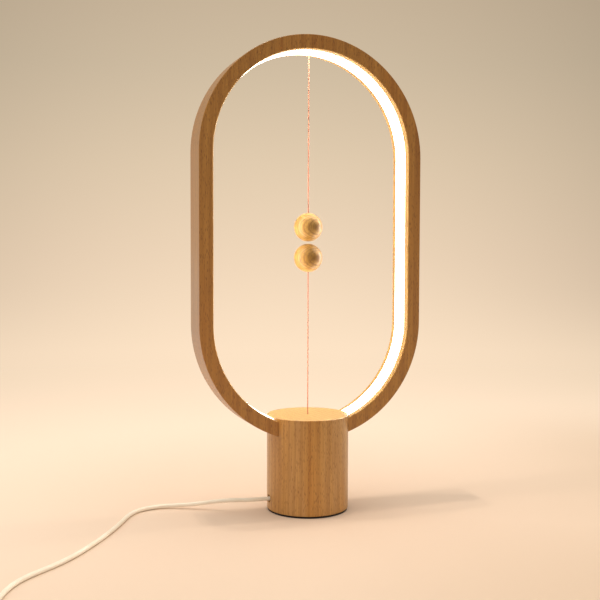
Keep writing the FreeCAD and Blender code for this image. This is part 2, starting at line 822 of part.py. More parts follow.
# The coil's line: after coil_floor_turn on the table it spirals in and out again, layer on layer, and
# climbs where the spiral turns back.
def coil_point(turns):
    turning = max(1, min(coil_layers - 1, round(turns / coil_turns_per_layer)))
    away = turns - turning * coil_turns_per_layer
    depth = abs(away) if abs(away) >= 0.25 else 2 * away * away + 0.125
    half_band = coil_turns_per_layer * coil_pitch / 2
    if turning % 2:
        radius = coil_mid_radius - half_band + coil_pitch * depth
    else:
        radius = coil_mid_radius + half_band - coil_pitch * depth
    step = max(0.0, min(1.0, (away + 0.25) / 0.5))
    layer = turning - 1 + step * step * (3 - 2 * step)
    angle = math.radians(coil_start_angle) - 2 * math.pi * turns
    return Vector(coil_centre[0] + radius * math.cos(angle), coil_centre[1] + radius * math.sin(angle),
                  cord_rest_z + coil_pitch * layer)


def coil_way(turns):
    small = 1e-4
    way = coil_point(turns + small).sub(coil_point(turns - small))
    way.normalize()
    return way


def coil_ends():
    total = coil_layers * coil_turns_per_layer
    first = -coil_floor_turn
    start = coil_point(first).sub(coil_way(first) * cord_diameter)
    end = coil_point(total).add(coil_way(total) * cord_diameter)
    return start, coil_way(first), end, coil_way(total)


def make_cord_coil():
    start, start_way, end, end_way = coil_ends()
    total = coil_layers * coil_turns_per_layer
    quarters = round(4 * (total + coil_floor_turn))
    edges = [Part.LineSegment(start, coil_point(-coil_floor_turn)).toShape()]
    for k in range(quarters):
        low, high = k / 4 - coil_floor_turn, (k + 1) / 4 - coil_floor_turn
        edges += two_arcs(coil_point(low), coil_way(low), coil_point(high), coil_way(high))
    edges.append(Part.LineSegment(coil_point(total), end).toShape())
    length = sum(edge.Length for edge in edges)
    coil = pipe(edges, cord_radius)
    print("coil length", round(length, 1), "volume share", round(coil.Volume / (length * math.pi * cord_radius ** 2), 4))
    print("coil gap to itself", round(least_gap(edges) - cord_diameter, 2))
    return coil, length


# Least distance between stretches of one line that aren't neighbours along it.
def least_gap(edges):
    points, travelled, distance = [], [], 0.0
    for edge in edges:
        for point in edge.discretize(9)[:-1]:
            if points:
                distance += point.distanceToPoint(points[-1])
            points.append(point)
            travelled.append(distance)
    near = 8 * cord_diameter
    least = 1e9
    for i, point in enumerate(points):
        for j in range(i + 1, len(points)):
            if travelled[j] - travelled[i] > near:
                least = min(least, point.distanceToPoint(points[j]))
    return least


def front_cord_points():
    start, start_way, end, end_way = coil_ends()
    before = start.sub(start_way * coil_lead_in)
    first = (grommet_face_x(), 0.0, cord_hole_height)
    return [first] + cord_route + [tuple(before), tuple(start)]


# The lead's end runs from the top of the coil down to the plug on the table.
def tail_points():
    end, end_way = coil_ends()[2:]
    level = Vector(end_way.x, end_way.y, 0)
    level.normalize()
    plug_z = plug_height / 2
    drop = end.z - plug_z

    def step(run, height_share):
        return Vector(end.x, end.y, plug_z + drop * height_share).add(level * (tail_run * run))

    relief = step(1.93, 0.0)
    points = [end, end.add(end_way * (tail_run * 0.25)), step(1.0, 0.25), step(1.6, 0.0), relief]
    return [tuple(point) for point in points], relief, level


# Turns a shape drawn along +X at the origin into the plug's direction, at the lead's end.
def placed_at_plug(shape):
    points, relief, way = tail_points()
    turned_shape = shape.copy()
    turned_shape.rotate(Vector(0, 0, 0), Vector(0, 0, 1), math.degrees(math.atan2(way.y, way.x)))
    return at(relief.x, relief.y, relief.z, turned_shape)


def rounded_block(length, width, height, start_x, edge_round):
    shape = block((start_x, start_x + length), (-width / 2, width / 2), (-height / 2, height / 2))
    return shape.makeFillet(edge_round, shape.Edges)


def make_plug_body():
    relief = Part.makeCone(relief_end_diameter / 2, relief_start_diameter / 2, relief_length + 1.0,
                           Vector(0, 0, 0), Vector(1, 0, 0))
    body = rounded_block(plug_length, plug_width, plug_height, relief_length, plug_edge_round)
    plug = body.fuse(relief).removeSplitter()
    socket = block((relief_length + plug_length - shell_root, relief_length + plug_length + 1),
                   (-shell_width / 2, shell_width / 2), (-shell_height / 2, shell_height / 2))
    return placed_at_plug(plug.cut(socket))


def shell_start():
    return relief_length + plug_length - shell_root


def make_plug_shell():
    length = shell_root + shell_length
    outer = block((shell_start(), shell_start() + length), (-shell_width / 2, shell_width / 2),
                  (-shell_height / 2, shell_height / 2))
    inner_y = shell_width / 2 - shell_wall
    inner_z = shell_height / 2 - shell_wall
    inner = block((shell_start() - 1, shell_start() + length + 1), (-inner_y, inner_y), (-inner_z, inner_z))
    shell = outer.cut(inner)
    # Latch windows in the top and the bottom
    for side in (-1, 1):
        y = side * 2.6
        window = block((shell_start() + length - 8.0, shell_start() + length - 5.6), (y - 1.2, y + 1.2),
                       (-shell_height, shell_height))
        shell = shell.cut(window)
    return placed_at_plug(shell)


def insert_bottom():
    return -shell_height / 2 + shell_wall


def make_plug_insert():
    inner_y = shell_width / 2 - shell_wall - piece_gap
    length = shell_root + shell_length - 1.0
    tongue = block((shell_start(), shell_start() + length), (-inner_y, inner_y),
                   (insert_bottom() + piece_gap / 2, insert_bottom() + insert_thickness))
    return placed_at_plug(tongue)


def make_plug_contacts():
    top = insert_bottom() + insert_thickness
    end_x = shell_start() + shell_root + shell_length - 2.2
    strips = []
    for k in range(4):
        y = (k - 1.5) * contact_strip_pitch
        strips.append(block((end_x - contact_strip_length, end_x),
                            (y - contact_strip_width / 2, y + contact_strip_width / 2),
                            (top, top + contact_strip_thickness)))
    return placed_at_plug(Part.makeCompound(strips))


def make_all():
    upper_ball, upper_magnet, upper_plug = make_ball(upper_ball_z, -1)
    lower_ball, lower_magnet, lower_plug = make_ball(lower_ball_z, 1)
    front_cord, front_length = tube_along(front_cord_points(), cord_radius, "power_cord")
    tail_cord, tail_length = tube_along(tail_points()[0], cord_radius, "cord_tail")
    coil, coil_length = make_cord_coil()
    print("whole free lead", round(front_length + tail_length + coil_length, 1))
    return {
        "ring_frame": make_ring_frame(),
        "diffuser_strip": make_diffuser(),
        "led_strip": make_led_strip(),
        "led_chips": make_led_chips(),
        "base_body": make_base_body(),
        "ring_screws": make_ring_screws(),
        "foot_pad": make_foot_pad(),
        "bottom_cover": make_bottom_cover(),
        "cover_screws": screws_from_below(cover_screw_size, circle_places(cover_screw_circle, 4, 45.0),
                                          cover_screw_length - 1.0),
        "ballast_weight": make_ballast(),
        "ballast_screws": screws_from_below(ballast_screw_size, circle_places(ballast_screw_circle, 3, 0.0),
                                            ballast_screw_length - 0.5),
        "upper_ball": upper_ball,
        "upper_magnet": upper_magnet,
        "upper_plug": upper_plug,
        "upper_string": make_upper_string(),
        "upper_knot": at(0, 0, pivot_z, Part.makeSphere(knot_radius)),
        "lower_ball": lower_ball,
        "lower_magnet": lower_magnet,
        "lower_plug": lower_plug,
        "lower_string": make_lower_string(),
        "plunger_string": cylinder(string_radius, piston_top, base_height),
        "switch_housing": make_switch_housing(),
        "switch_screws": make_flange_screws(),
        "plunger": make_plunger(),
        "guide_bush": make_guide_bush(),
        "return_spring": make_return_spring(),
        "contact_disc": make_contact_disc(),
        "disc_clip": make_disc_clip(),
        "fixed_contacts": make_fixed_contacts(),
        "circuit_board": make_circuit_board(),
        "board_parts": make_board_parts(),
        "lead_connector": make_lead_connector(),
        "board_spacers": make_board_spacers(),
        "board_screws": make_board_screws(),
        "led_wires": make_led_wires(),
        "cable_grommet": make_grommet(),
        "cord_clamp": make_cord_clamp(),
        "clamp_screws": make_clamp_screws(),
        "inner_lead": make_inner_lead(),
        "lead_wires": make_lead_wires(),
        "power_cord": front_cord,
        "cord_coil": coil,
        "cord_tail": tail_cord,
        "plug_body": make_plug_body(),
        "plug_shell": make_plug_shell(),
        "plug_insert": make_plug_insert(),
        "plug_contacts": make_plug_contacts(),
    }


os.makedirs("parts", exist_ok=True)
shapes = make_all()
for name, shape in shapes.items():
    shape.exportStep("parts/" + name + ".step")
print(len(shapes), "nodes")
print("pivot height", round(pivot_z, 2), "upper ball", round(upper_ball_z, 2), "lower ball", round(lower_ball_z, 2))
print("lower ball can drop", round(lower_ball_z - ball_radius - base_height, 2))
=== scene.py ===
import json
import math

import bpy
from mathutils import Matrix, Vector

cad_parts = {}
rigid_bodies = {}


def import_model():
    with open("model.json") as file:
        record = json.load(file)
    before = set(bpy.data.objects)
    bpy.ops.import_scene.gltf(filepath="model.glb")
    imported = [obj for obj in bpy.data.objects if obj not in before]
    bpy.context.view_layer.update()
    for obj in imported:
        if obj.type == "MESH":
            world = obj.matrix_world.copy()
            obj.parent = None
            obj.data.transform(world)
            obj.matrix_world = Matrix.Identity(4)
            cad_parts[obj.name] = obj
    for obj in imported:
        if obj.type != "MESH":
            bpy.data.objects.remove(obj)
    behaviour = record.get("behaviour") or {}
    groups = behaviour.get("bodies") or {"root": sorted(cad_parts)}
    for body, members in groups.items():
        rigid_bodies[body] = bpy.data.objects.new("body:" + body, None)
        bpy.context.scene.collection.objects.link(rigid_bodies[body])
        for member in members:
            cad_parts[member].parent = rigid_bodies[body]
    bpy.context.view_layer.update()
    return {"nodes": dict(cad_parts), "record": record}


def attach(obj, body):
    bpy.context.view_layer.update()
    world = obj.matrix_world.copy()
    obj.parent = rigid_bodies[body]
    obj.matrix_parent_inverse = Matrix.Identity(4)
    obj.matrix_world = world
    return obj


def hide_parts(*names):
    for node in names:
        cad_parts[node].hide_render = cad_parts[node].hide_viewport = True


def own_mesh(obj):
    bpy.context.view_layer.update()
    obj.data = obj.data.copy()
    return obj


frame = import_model()
nodes = frame["nodes"]
print("lamp loaded:", len(nodes), "nodes")

mm = 0.001


# Shader maths. A Wire is one socket, and arithmetic on it adds Math nodes.
class Wire:
    def __init__(self, finish, socket):
        self.finish = finish
        self.socket = socket

    def __add__(self, other):
        return self.finish.maths("ADD", self, other)

    def __radd__(self, other):
        return self.finish.maths("ADD", other, self)

    def __sub__(self, other):
        return self.finish.maths("SUBTRACT", self, other)

    def __rsub__(self, other):
        return self.finish.maths("SUBTRACT", other, self)

    def __mul__(self, other):
        return self.finish.maths("MULTIPLY", self, other)

    def __rmul__(self, other):
        return self.finish.maths("MULTIPLY", other, self)

    def __truediv__(self, other):
        return self.finish.maths("DIVIDE", self, other)


# One material, or the world, with its nodes.
class Finish:
    def __init__(self, name, tree=None):
        self.material = None
        if tree is None:
            self.material = bpy.data.materials.new(name)
            self.material.use_nodes = True
            tree = self.material.node_tree
        tree.nodes.clear()
        self.tree = tree

    # kind is the node's type, settings go on first, then the sockets' values or links
    def node(self, kind, settings=None, sockets=None, out=0):
        made = self.tree.nodes.new("ShaderNode" + kind)
        for name, value in (settings or {}).items():
            if name == "stops":
                self.fillRamp(made.color_ramp, value)
            else:
                setattr(made, name, value)
        for name, value in (sockets or {}).items():
            if isinstance(value, Wire):
                self.tree.links.new(value.socket, made.inputs[name])
            else:
                made.inputs[name].default_value = value
        if isinstance(out, tuple):
            return [Wire(self, made.outputs[place]) for place in out]
        return Wire(self, made.outputs[out]) if len(made.outputs) else None

    def fillRamp(self, ramp, stops):
        while len(ramp.elements) < len(stops):
            ramp.elements.new(1.0)
        for element, (position, colour) in zip(ramp.elements, stops):
            element.position = position
            element.color = (*colour, 1.0) if len(colour) == 3 else colour

    def maths(self, operation, *values):
        return self.node("Math", {"operation": operation}, dict(enumerate(values)))

    def place(self):
        return self.node("TexCoord", out="Object")

    def split(self, place):
        return self.node("SeparateXYZ", sockets={0: place}, out=(0, 1, 2))

    def scaled(self, place, scale):
        return self.node("VectorMath", {"operation": "MULTIPLY"}, {0: place, 1: scale})

    def noise(self, place, scale, detail=2.0, roughness=0.5):
        return self.node("TexNoise", sockets={"Vector": self.scaled(place, scale), "Scale": 1.0,
                                              "Detail": detail, "Roughness": roughness}, out="Fac")

    # 0 below low, 1 above high, smooth between
    def rise(self, value, low, high):
        return self.node("MapRange", {"interpolation_type": "SMOOTHSTEP"},
                         {"Value": value, "From Min": low, "From Max": high})

    # sockets 6 and 7 of a Mix node are its two colours, and its output 2 is their mixture
    def blend(self, share, first, second):
        return self.node("Mix", {"data_type": "RGBA"}, {0: share, 6: first, 7: second}, out=2)

    def dimmed(self, colour, share):
        return self.node("VectorMath", {"operation": "SCALE"}, {0: colour, "Scale": share})

    def bump(self, height, distance, strength):
        return self.node("Bump", sockets={"Strength": strength, "Distance": distance, "Height": height},
                         out="Normal")

    def surface(self, sockets):
        shader = self.node("BsdfPrincipled", sockets=sockets)
        self.node("OutputMaterial", sockets={"Surface": shader})
        return self.material


# A colour as a paint chart gives it (0 to 255), turned into the shader's linear values.
def paint(red, green, blue):
    def linear(value):
        share = value / 255
        return share / 12.92 if share <= 0.04045 else ((share + 0.055) / 1.055) ** 2.4
    return (linear(red), linear(green), linear(blue), 1.0)


# Heights of the middles of the ring's lower and upper arcs.
ringCentres = (160.35 * mm, 302.0 * mm)

# Lengths are in metres. A range is where a mask begins and where it is full. A scale is how many specks lie
# in a metre along X, Y and Z.
beech = {
    "pith": (0.35, 0.62), "ringSpacing": 0.0046, "wander": 0.010, "wanderScale": (9, 9, 2.5),
    "lateRange": (0.35, 0.92), "edgeRange": (0.93, 1.0), "ring": 0.3,
    "fibreScale": (1500, 1500, 30), "fibreRange": (0.42, 0.68), "fibre": 0.4,
    "streakScale": (300, 300, 7), "streakRange": (0.3, 0.7), "streak": 0.5,
    "cloudScale": (38, 38, 6), "cloudRange": (0.36, 0.64),
    "boardScale": (18, 18, 3), "boardRange": (0.44, 0.60), "board": 0.5, "paleLeft": 0.0,
    "fleckScale": (1400, 1400, 240), "fleckRange": (0.18, 0.46), "fleckChance": (0.3, 0.7), "fleck": 0.7,
    # endRange, endGrainAndLitTops and end: faces pointing up or down are paler, partly as end grain, partly
    # as painted light on the tops
    "endRange": (0.75, 0.97), "endGrainAndLitTops": 0.8,
    "warm": (176, 117, 45), "cool": (169, 113, 46), "light": (194, 140, 64), "dark": (140, 86, 28),
    "pale": (180, 128, 58), "end": (212, 172, 102), "fleckColour": (112, 66, 26),
    "roughness": 0.42, "fibreRoughness": 0.16, "shine": 0.4,
    "coat": 0.55, "fibreCoat": 0.15, "coatRoughness": 0.26,
    "fibreHeight": 0.5, "streakHeight": 0.3, "fleckDepth": 0.8, "relief": 0.10 * mm, "reliefStrength": 0.5,
}
# painted light: the lips beside the cover are painted as paler wood, standing in for the cover's light
# falling on them; all that lies near the line between the arcs' middles
frameWood = dict(beech, paintedLipLight=(205, 160, 88), paintedLipLightShare=0.9, paintedLipLightRange=(87.2 * mm, 88.2 * mm))
baseWood = dict(beech, pith=(-0.12, 0.16), ringSpacing=0.0052, warm=(187, 127, 46), cool=(188, 142, 82),
                pale=(192, 146, 88), light=(210, 158, 78), dark=(152, 96, 34), fleckColour=(126, 76, 28),
                boardScale=(26, 26, 2), board=0.8, paleLeft=4.0)
ballWood = dict(beech, pith=(-0.004, 0.006), ringSpacing=0.0016, wander=0.0016, wanderScale=(90, 90, 40),
                warm=(168, 122, 48), cool=(150, 104, 40), pale=(188, 148, 76), light=(192, 150, 78),
                dark=(112, 70, 26), fleckColour=(92, 54, 20), boardScale=(60, 60, 20), ring=0.6, coat=0.15,
                roughness=0.5)


# Oiled beech with its grain upright: growth rings round a far pith, fibres, and the short dark flecks.
def beechFinish(name, look):
    finish = Finish(name)
    place = finish.place()
    x, y, z = finish.split(place)
    wander = finish.noise(place, look["wanderScale"]) - 0.5
    aside = x - look["pith"][0]
    deep = y - look["pith"][1]
    away = finish.maths("SQRT", aside * aside + deep * deep) + wander * look["wander"]
    season = finish.maths("FRACT", away / look["ringSpacing"])
    lateWood = finish.rise(season, *look["lateRange"]) * (1 - finish.rise(season, *look["edgeRange"]))
    fibre = finish.noise(place, look["fibreScale"], detail=3.0, roughness=0.6)
    streak = finish.noise(place, look["streakScale"], roughness=0.55)
    cloud = finish.noise(place, look["cloudScale"])
    board = finish.noise(place, look["boardScale"], detail=1.0) - x * look["paleLeft"]
    fromFleck, fleckTint = finish.node("TexVoronoi", {"feature": "F1"},
                                       {"Vector": finish.scaled(place, look["fleckScale"]), "Scale": 1.0},
                                       out=("Distance", "Color"))
    chosen = finish.rise(finish.split(fleckTint)[0], *look["fleckChance"])
    fleck = (1 - finish.rise(fromFleck, *look["fleckRange"])) * chosen
    # end grain and painted light: faces that point up or down are painted paler, partly as end grain, partly
    # standing in for the light on the tops
    upward = finish.split(finish.node("TexCoord", out="Normal"))[2]
    endGrainAndLitTops = finish.rise(finish.maths("ABSOLUTE", upward), *look["endRange"])
    tone = finish.blend(finish.rise(cloud, *look["cloudRange"]), paint(*look["warm"]), paint(*look["cool"]))
    tone = finish.blend(finish.rise(board, *look["boardRange"]) * look["board"], tone, paint(*look["pale"]))
    tone = finish.blend(finish.rise(streak, *look["streakRange"]) * look["streak"],
                        tone, paint(*look["light"]))
    tone = finish.blend(endGrainAndLitTops * look["endGrainAndLitTops"], tone, paint(*look["end"]))
    # painted light: wood near the cover is blended toward a paler colour in place of the cover's light on the
    # lips
    if "paintedLipLight" in look:
        nearest = finish.maths("MAXIMUM", ringCentres[0], finish.maths("MINIMUM", z, ringCentres[1]))
        fromMiddle = finish.maths("SQRT", x * x + (z - nearest) * (z - nearest))
        paintedLipLightMask = 1 - finish.rise(fromMiddle, *look["paintedLipLightRange"])
        tone = finish.blend(paintedLipLightMask * look["paintedLipLightShare"], tone, paint(*look["paintedLipLight"]))
    tone = finish.blend(lateWood * look["ring"], tone, paint(*look["dark"]))
    tone = finish.blend(finish.rise(fibre, *look["fibreRange"]) * look["fibre"], tone, paint(*look["dark"]))
    tone = finish.blend(fleck * look["fleck"], tone, paint(*look["fleckColour"]))
    height = fibre * look["fibreHeight"] + streak * look["streakHeight"] - fleck * look["fleckDepth"]
    return finish.surface({
        "Base Color": tone,
        "Roughness": look["roughness"] + fibre * look["fibreRoughness"],
        "Specular IOR Level": look["shine"],
        "Coat Weight": look["coat"] + fibre * look["fibreCoat"],
        "Coat Roughness": look["coatRoughness"],
        "Normal": finish.bump(height, look["relief"], look["reliefStrength"]),
    })


# What the moulded pieces share. Each one's own values stand with its slot.
moulding = {
    "grainScale": 3000, "grainDepth": 0.01 * mm, "grainRange": (0.3, 0.75), "grain": 0.25,
    "smudgeScale": (60, 60, 60), "smudgeRange": (0.35, 0.7), "smudgeRoughness": 0.14,
    "shine": 0.5, "reliefStrength": 0.6,
}


# Injection-moulded plastic or rubber with a fine grain, and faint marks from handling.
def mouldedFinish(name, **own):
    look = dict(moulding, **own)
    finish = Finish(name)
    place = finish.place()
    grain = finish.noise(place, (look["grainScale"],) * 3, detail=3.0, roughness=0.6)
    smudge = finish.noise(place, look["smudgeScale"], detail=3.0, roughness=0.55)
    tone = finish.blend(finish.rise(smudge, *look["smudgeRange"]),
                        paint(*look["colour"]), paint(*look["worn"]))
    tone = finish.blend(finish.rise(grain, *look["grainRange"]) * look["grain"], tone, paint(*look["worn"]))
    return finish.surface({
        "Base Color": tone,
        "Roughness": look["roughness"] + smudge * look["smudgeRoughness"],
        "Specular IOR Level": look["shine"],
        "Normal": finish.bump(grain, look["grainDepth"], look["reliefStrength"]),
    })


# What the metal pieces share.
metal = {
    "stainScale": (220, 220, 220), "stainRange": (0.4, 0.75), "stain": 0.6,
    "markRoughness": 0.22, "markDepth": 0.02 * mm, "reliefStrength": 0.4,
}


# Plated, turned or drawn metal, with fine tool marks round or along it.
def metalFinish(name, **own):
    look = dict(metal, **own)
    finish = Finish(name)
    place = finish.place()
    marks = finish.noise(place, look["markScale"], detail=3.0, roughness=0.6)
    stain = finish.noise(place, look["stainScale"], detail=3.0)
    stained = finish.rise(stain, *look["stainRange"]) * look["stain"]
    return finish.surface({
        "Base Color": finish.blend(stained, paint(*look["colour"]), paint(*look["worn"])),
        "Metallic": 1.0,
        "Roughness": look["roughness"] + marks * look["markRoughness"],
        "Normal": finish.bump(marks, look["markDepth"], look["reliefStrength"]),
    })


boardLook = {
    "mask": (22, 88, 44), "trackColour": (42, 124, 66), "track": 0.7,
    "tracks": {"Scale": 260.0, "Mortar Size": 0.03, "Brick Width": 1.9, "Row Height": 0.45},
    "grainScale": (900, 900, 900), "grain": 0.2,
    "roughness": 0.28, "grainRoughness": 0.15, "trackHeight": 0.03 * mm, "reliefStrength": 0.6,
}


# Solder mask over copper tracks, which are the bricks of a stretched bond.
def boardFinish(name, look):
    finish = Finish(name)
    place = finish.place()
    bond = finish.node("TexBrick", {"offset": 0.5, "squash": 1.0},
                       {"Vector": place, "Color1": (1, 1, 1, 1), "Color2": (0.6, 0.6, 0.6, 1),
                        "Mortar": (0, 0, 0, 1), **look["tracks"]})
    copper = finish.split(bond)[0]
    grain = finish.noise(place, look["grainScale"])
    tone = finish.blend(copper * look["track"], paint(*look["mask"]), paint(*look["trackColour"]))
    tone = finish.blend(grain * look["grain"], tone, paint(*look["trackColour"]))
    return finish.surface({
        "Base Color": tone,
        "Roughness": look["roughness"] + grain * look["grainRoughness"],
        "Normal": finish.bump(copper, look["trackHeight"], look["reliefStrength"]),
    })


opalLook = {
    "colour": (250, 246, 236), "shade": (244, 238, 226), "glow": (255, 244, 226), "hot": (255, 250, 240),
    "chipPitch": 16.6 * mm, "swell": 0.35, "cloud": 0.3, "cloudScale": (90, 90, 90), "cloudRange": (0.3, 0.7),
    "roughness": 0.45, "cloudRoughness": 0.1, "strength": 8.0,
}


# Opal cover of the light: the chips behind it show as a slight swell of brightness.
def opalFinish(name, look):
    finish = Finish(name)
    place = finish.place()
    across, up = finish.split(place)[::2]
    wave = finish.maths("SINE", (across + up) * (2 * math.pi / look["chipPitch"])) * 0.5 + 0.5
    cloud = finish.noise(place, look["cloudScale"])
    hot = wave * look["swell"] + cloud * look["cloud"]
    shaded = finish.rise(cloud, *look["cloudRange"])
    return finish.surface({
        "Base Color": finish.blend(shaded, paint(*look["colour"]), paint(*look["shade"])),
        "Roughness": look["roughness"] + cloud * look["cloudRoughness"],
        "Emission Color": finish.blend(hot, paint(*look["glow"]), paint(*look["hot"])),
        "Emission Strength": look["strength"],
    })


threadLook = {
    "colour": (196, 118, 90), "faded": (204, 130, 104), "fuzzColour": (140, 78, 56),
    "patchScale": (200, 200, 60), "patchRange": (0.3, 0.7),
    "fuzzScale": (4000, 4000, 1500), "fuzzRange": (0.35, 0.75), "fuzz": 0.45,
    "roughness": 0.78, "fuzzRoughness": 0.12, "sheen": 0.25, "relief": 0.05 * mm, "reliefStrength": 0.6,
}


# Spun thread: faded in patches, with darker fuzz.
def threadFinish(name, look):
    finish = Finish(name)
    place = finish.place()
    fuzz = finish.noise(place, look["fuzzScale"], detail=3.0, roughness=0.6)
    patch = finish.noise(place, look["patchScale"])
    tone = finish.blend(finish.rise(patch, *look["patchRange"]),
                        paint(*look["colour"]), paint(*look["faded"]))
    tone = finish.blend(finish.rise(fuzz, *look["fuzzRange"]) * look["fuzz"],
                        tone, paint(*look["fuzzColour"]))
    return finish.surface({
        "Base Color": tone,
        "Roughness": look["roughness"] + fuzz * look["fuzzRoughness"],
        "Sheen Weight": look["sheen"],
        "Normal": finish.bump(fuzz, look["relief"], look["reliefStrength"]),
    })


slotFinishes = {
    "frame_wood": beechFinish("frameBeech", frameWood),
    "base_wood": beechFinish("baseBeech", baseWood),
    "ball_wood": beechFinish("ballBeech", ballWood),
    "opal": opalFinish("opalCover", opalLook),
    "flex": mouldedFinish("whiteFlex", colour=(238, 236, 228), worn=(222, 214, 194), grainScale=2500,
                          roughness=0.42),
    "led": mouldedFinish("amberLens", colour=(250, 226, 120), worn=(255, 240, 170), roughness=0.22),
    "black_rubber": mouldedFinish("blackRubber", colour=(30, 27, 25), worn=(48, 44, 41), grainScale=2200,
                                  grainDepth=0.04 * mm, roughness=0.62, shine=0.3),
    "black_plastic": mouldedFinish("blackCover", colour=(36, 35, 36), worn=(52, 51, 52),
                                   grainDepth=0.03 * mm, roughness=0.45, shine=0.45),
    "white_plastic": mouldedFinish("whiteMoulding", colour=(236, 232, 222), worn=(224, 217, 202),
                                   grainDepth=0.015 * mm, roughness=0.34),
    "string": threadFinish("reddishThread", threadLook),
    "lead_jacket": mouldedFinish("leadJacket", colour=(250, 243, 231), worn=(245, 235, 219), grainScale=2400,
                                 grainDepth=0.008 * mm, roughness=0.38, shine=0.45),
    "wire_jacket": mouldedFinish("wireJacket", colour=(176, 36, 28), worn=(150, 24, 20), grainScale=2600,
                                 roughness=0.3),
    "magnet": metalFinish("nickelPlate", colour=(212, 210, 204), worn=(186, 182, 174),
                          markScale=(900, 900, 900), roughness=0.12),
    "steel": metalFinish("zincPlate", colour=(190, 190, 190), worn=(160, 158, 150),
                         markScale=(1800, 1800, 400), roughness=0.24),
    "ballast": metalFinish("turnedSteel", colour=(120, 120, 122), worn=(96, 92, 86),
                           markScale=(300, 300, 3000), roughness=0.36),
    "brass": metalFinish("brightBrass", colour=(214, 172, 92), worn=(184, 138, 66),
                         markScale=(1200, 1200, 1200), roughness=0.2),
    "board": boardFinish("solderMask", boardLook),
    "board_part": mouldedFinish("blackComponent", colour=(34, 34, 36), worn=(50, 50, 52), grainScale=4000,
                                roughness=0.5, shine=0.4),
}

for row in frame["record"]["subparts"]:
    for slot in nodes[row["node"]].material_slots:
        slot.material = slotFinishes[row["material_slot"]]


def addMesh(name, points, faces, slotName, body):
    mesh = bpy.data.meshes.new(name)
    mesh.from_pydata([tuple(point) for point in points], [], faces)
    mesh.validate()
    mesh.polygons.foreach_set("use_smooth", [True] * len(mesh.polygons))
    piece = bpy.data.objects.new(name, mesh)
    bpy.context.scene.collection.objects.link(piece)
    mesh.materials.append(slotFinishes[slotName])
    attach(piece, body)
    return piece


# A round tube along a line of points, closed at both ends or joined end to end.
def tubeAlong(line, radius, sides, closed=False):
    points, faces = [], []
    count = len(line)
    side = None
    for i, centre in enumerate(line):
        before = line[i - 1] if i or closed else line[0]
        after = line[(i + 1) % count] if i + 1 < count or closed else line[-1]
        way = (after - before).normalized()
        if side is None:
            side = way.orthogonal().normalized()
        side = (side - way * side.dot(way)).normalized()
        up = way.cross(side)
        for k in range(sides):
            turn = 2 * math.pi * k / sides
            points.append(centre + side * (radius * math.cos(turn)) + up * (radius * math.sin(turn)))
    for i in range(count if closed else count - 1):
        here, there = i * sides, (i + 1) % count * sides
        for k in range(sides):
            beside = (k + 1) % sides
            faces.append((here + k, here + beside, there + beside, there + k))
    if not closed:
        faces.append(tuple(range(sides - 1, -1, -1)))
        faces.append(tuple(range((count - 1) * sides, count * sides)))
    return points, faces


# Twisted thread on the axis of the balls. The balls hang and pull on it; its knots hold it.
thread = {
    "strands": 3,
    "strandRadius": 0.232 * mm,
    "offset": 0.268 * mm,
    "lay": 2.8 * mm,
    "stepsPerTurn": 12,
    "sides": 7,
    "knotTube": 0.44 * mm,
    "knotSides": 10,
    "knotSteps": 72,
    "knotRise": 1.6,
    "hangerTop": 390.25 * mm,
    "hangerKnot": 392.05 * mm,
    "hangerKnotRadius": 1.7 * mm,
    "upperBallKnot": 239.45 * mm,
    "lowerBallKnot": 217.90 * mm,
    "ballKnotRadius": 1.4 * mm,
    "baseTop": 81.6 * mm,
    "plungerTop": 68.1 * mm,
    "drop": 118.7 * mm,
}


def addThread(name, low, high, body):
    points, faces = [], []
    steps = math.ceil((high - low) / thread["lay"] * thread["stepsPerTurn"])
    for strand in range(thread["strands"]):
        line = []
        for k in range(steps + 1):
            z = low + (high - low) * k / steps
            turn = 2 * math.pi * (z / thread["lay"] + strand / thread["strands"])
            line.append(Vector((thread["offset"] * math.cos(turn), thread["offset"] * math.sin(turn), z)))
        tube, walls = tubeAlong(line, thread["strandRadius"], thread["sides"])
        faces += [tuple(len(points) + corner for corner in wall) for wall in walls]
        points += tube
    return addMesh(name, points, faces, "string", body)


# Overhand knot drawn tight: a trefoil no wider than radius. A trefoil of size 1 reaches 3 from its middle.
def addKnot(name, height, radius, body):
    size = (radius - thread["knotTube"]) / 3
    line = []
    for k in range(thread["knotSteps"]):
        turn = 2 * math.pi * k / thread["knotSteps"]
        line.append(Vector((size * (math.sin(turn) + 2 * math.sin(2 * turn)),
                            size * (math.cos(turn) - 2 * math.cos(2 * turn)),
                            height - size * thread["knotRise"] * math.sin(3 * turn))))
    points, faces = tubeAlong(line, thread["knotTube"], thread["knotSides"], closed=True)
    return addMesh(name, points, faces, "string", body)


def makeThreads():
    upper = addThread("upperThread", thread["upperBallKnot"], thread["hangerTop"], "upper_ball")
    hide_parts("upper_string")
    addKnot("upperBallKnot", thread["upperBallKnot"], thread["ballKnotRadius"], "upper_ball")
    hanger = addKnot("hangerKnot", thread["hangerKnot"], thread["hangerKnotRadius"], "upper_knot")
    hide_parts("upper_knot")
    lower = addThread("lowerThread", thread["baseTop"], thread["lowerBallKnot"], "lower_ball")
    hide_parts("lower_string")
    # the length between the ball and the base shortens as the ball is let down
    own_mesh(lower)
    addKnot("lowerBallKnot", thread["lowerBallKnot"], thread["ballKnotRadius"], "lower_ball")
    inner = addThread("plungerThread", thread["plungerTop"], thread["baseTop"], "pull_switch")
    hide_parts("plunger_string")


makeThreads()
print("threads and knots made")

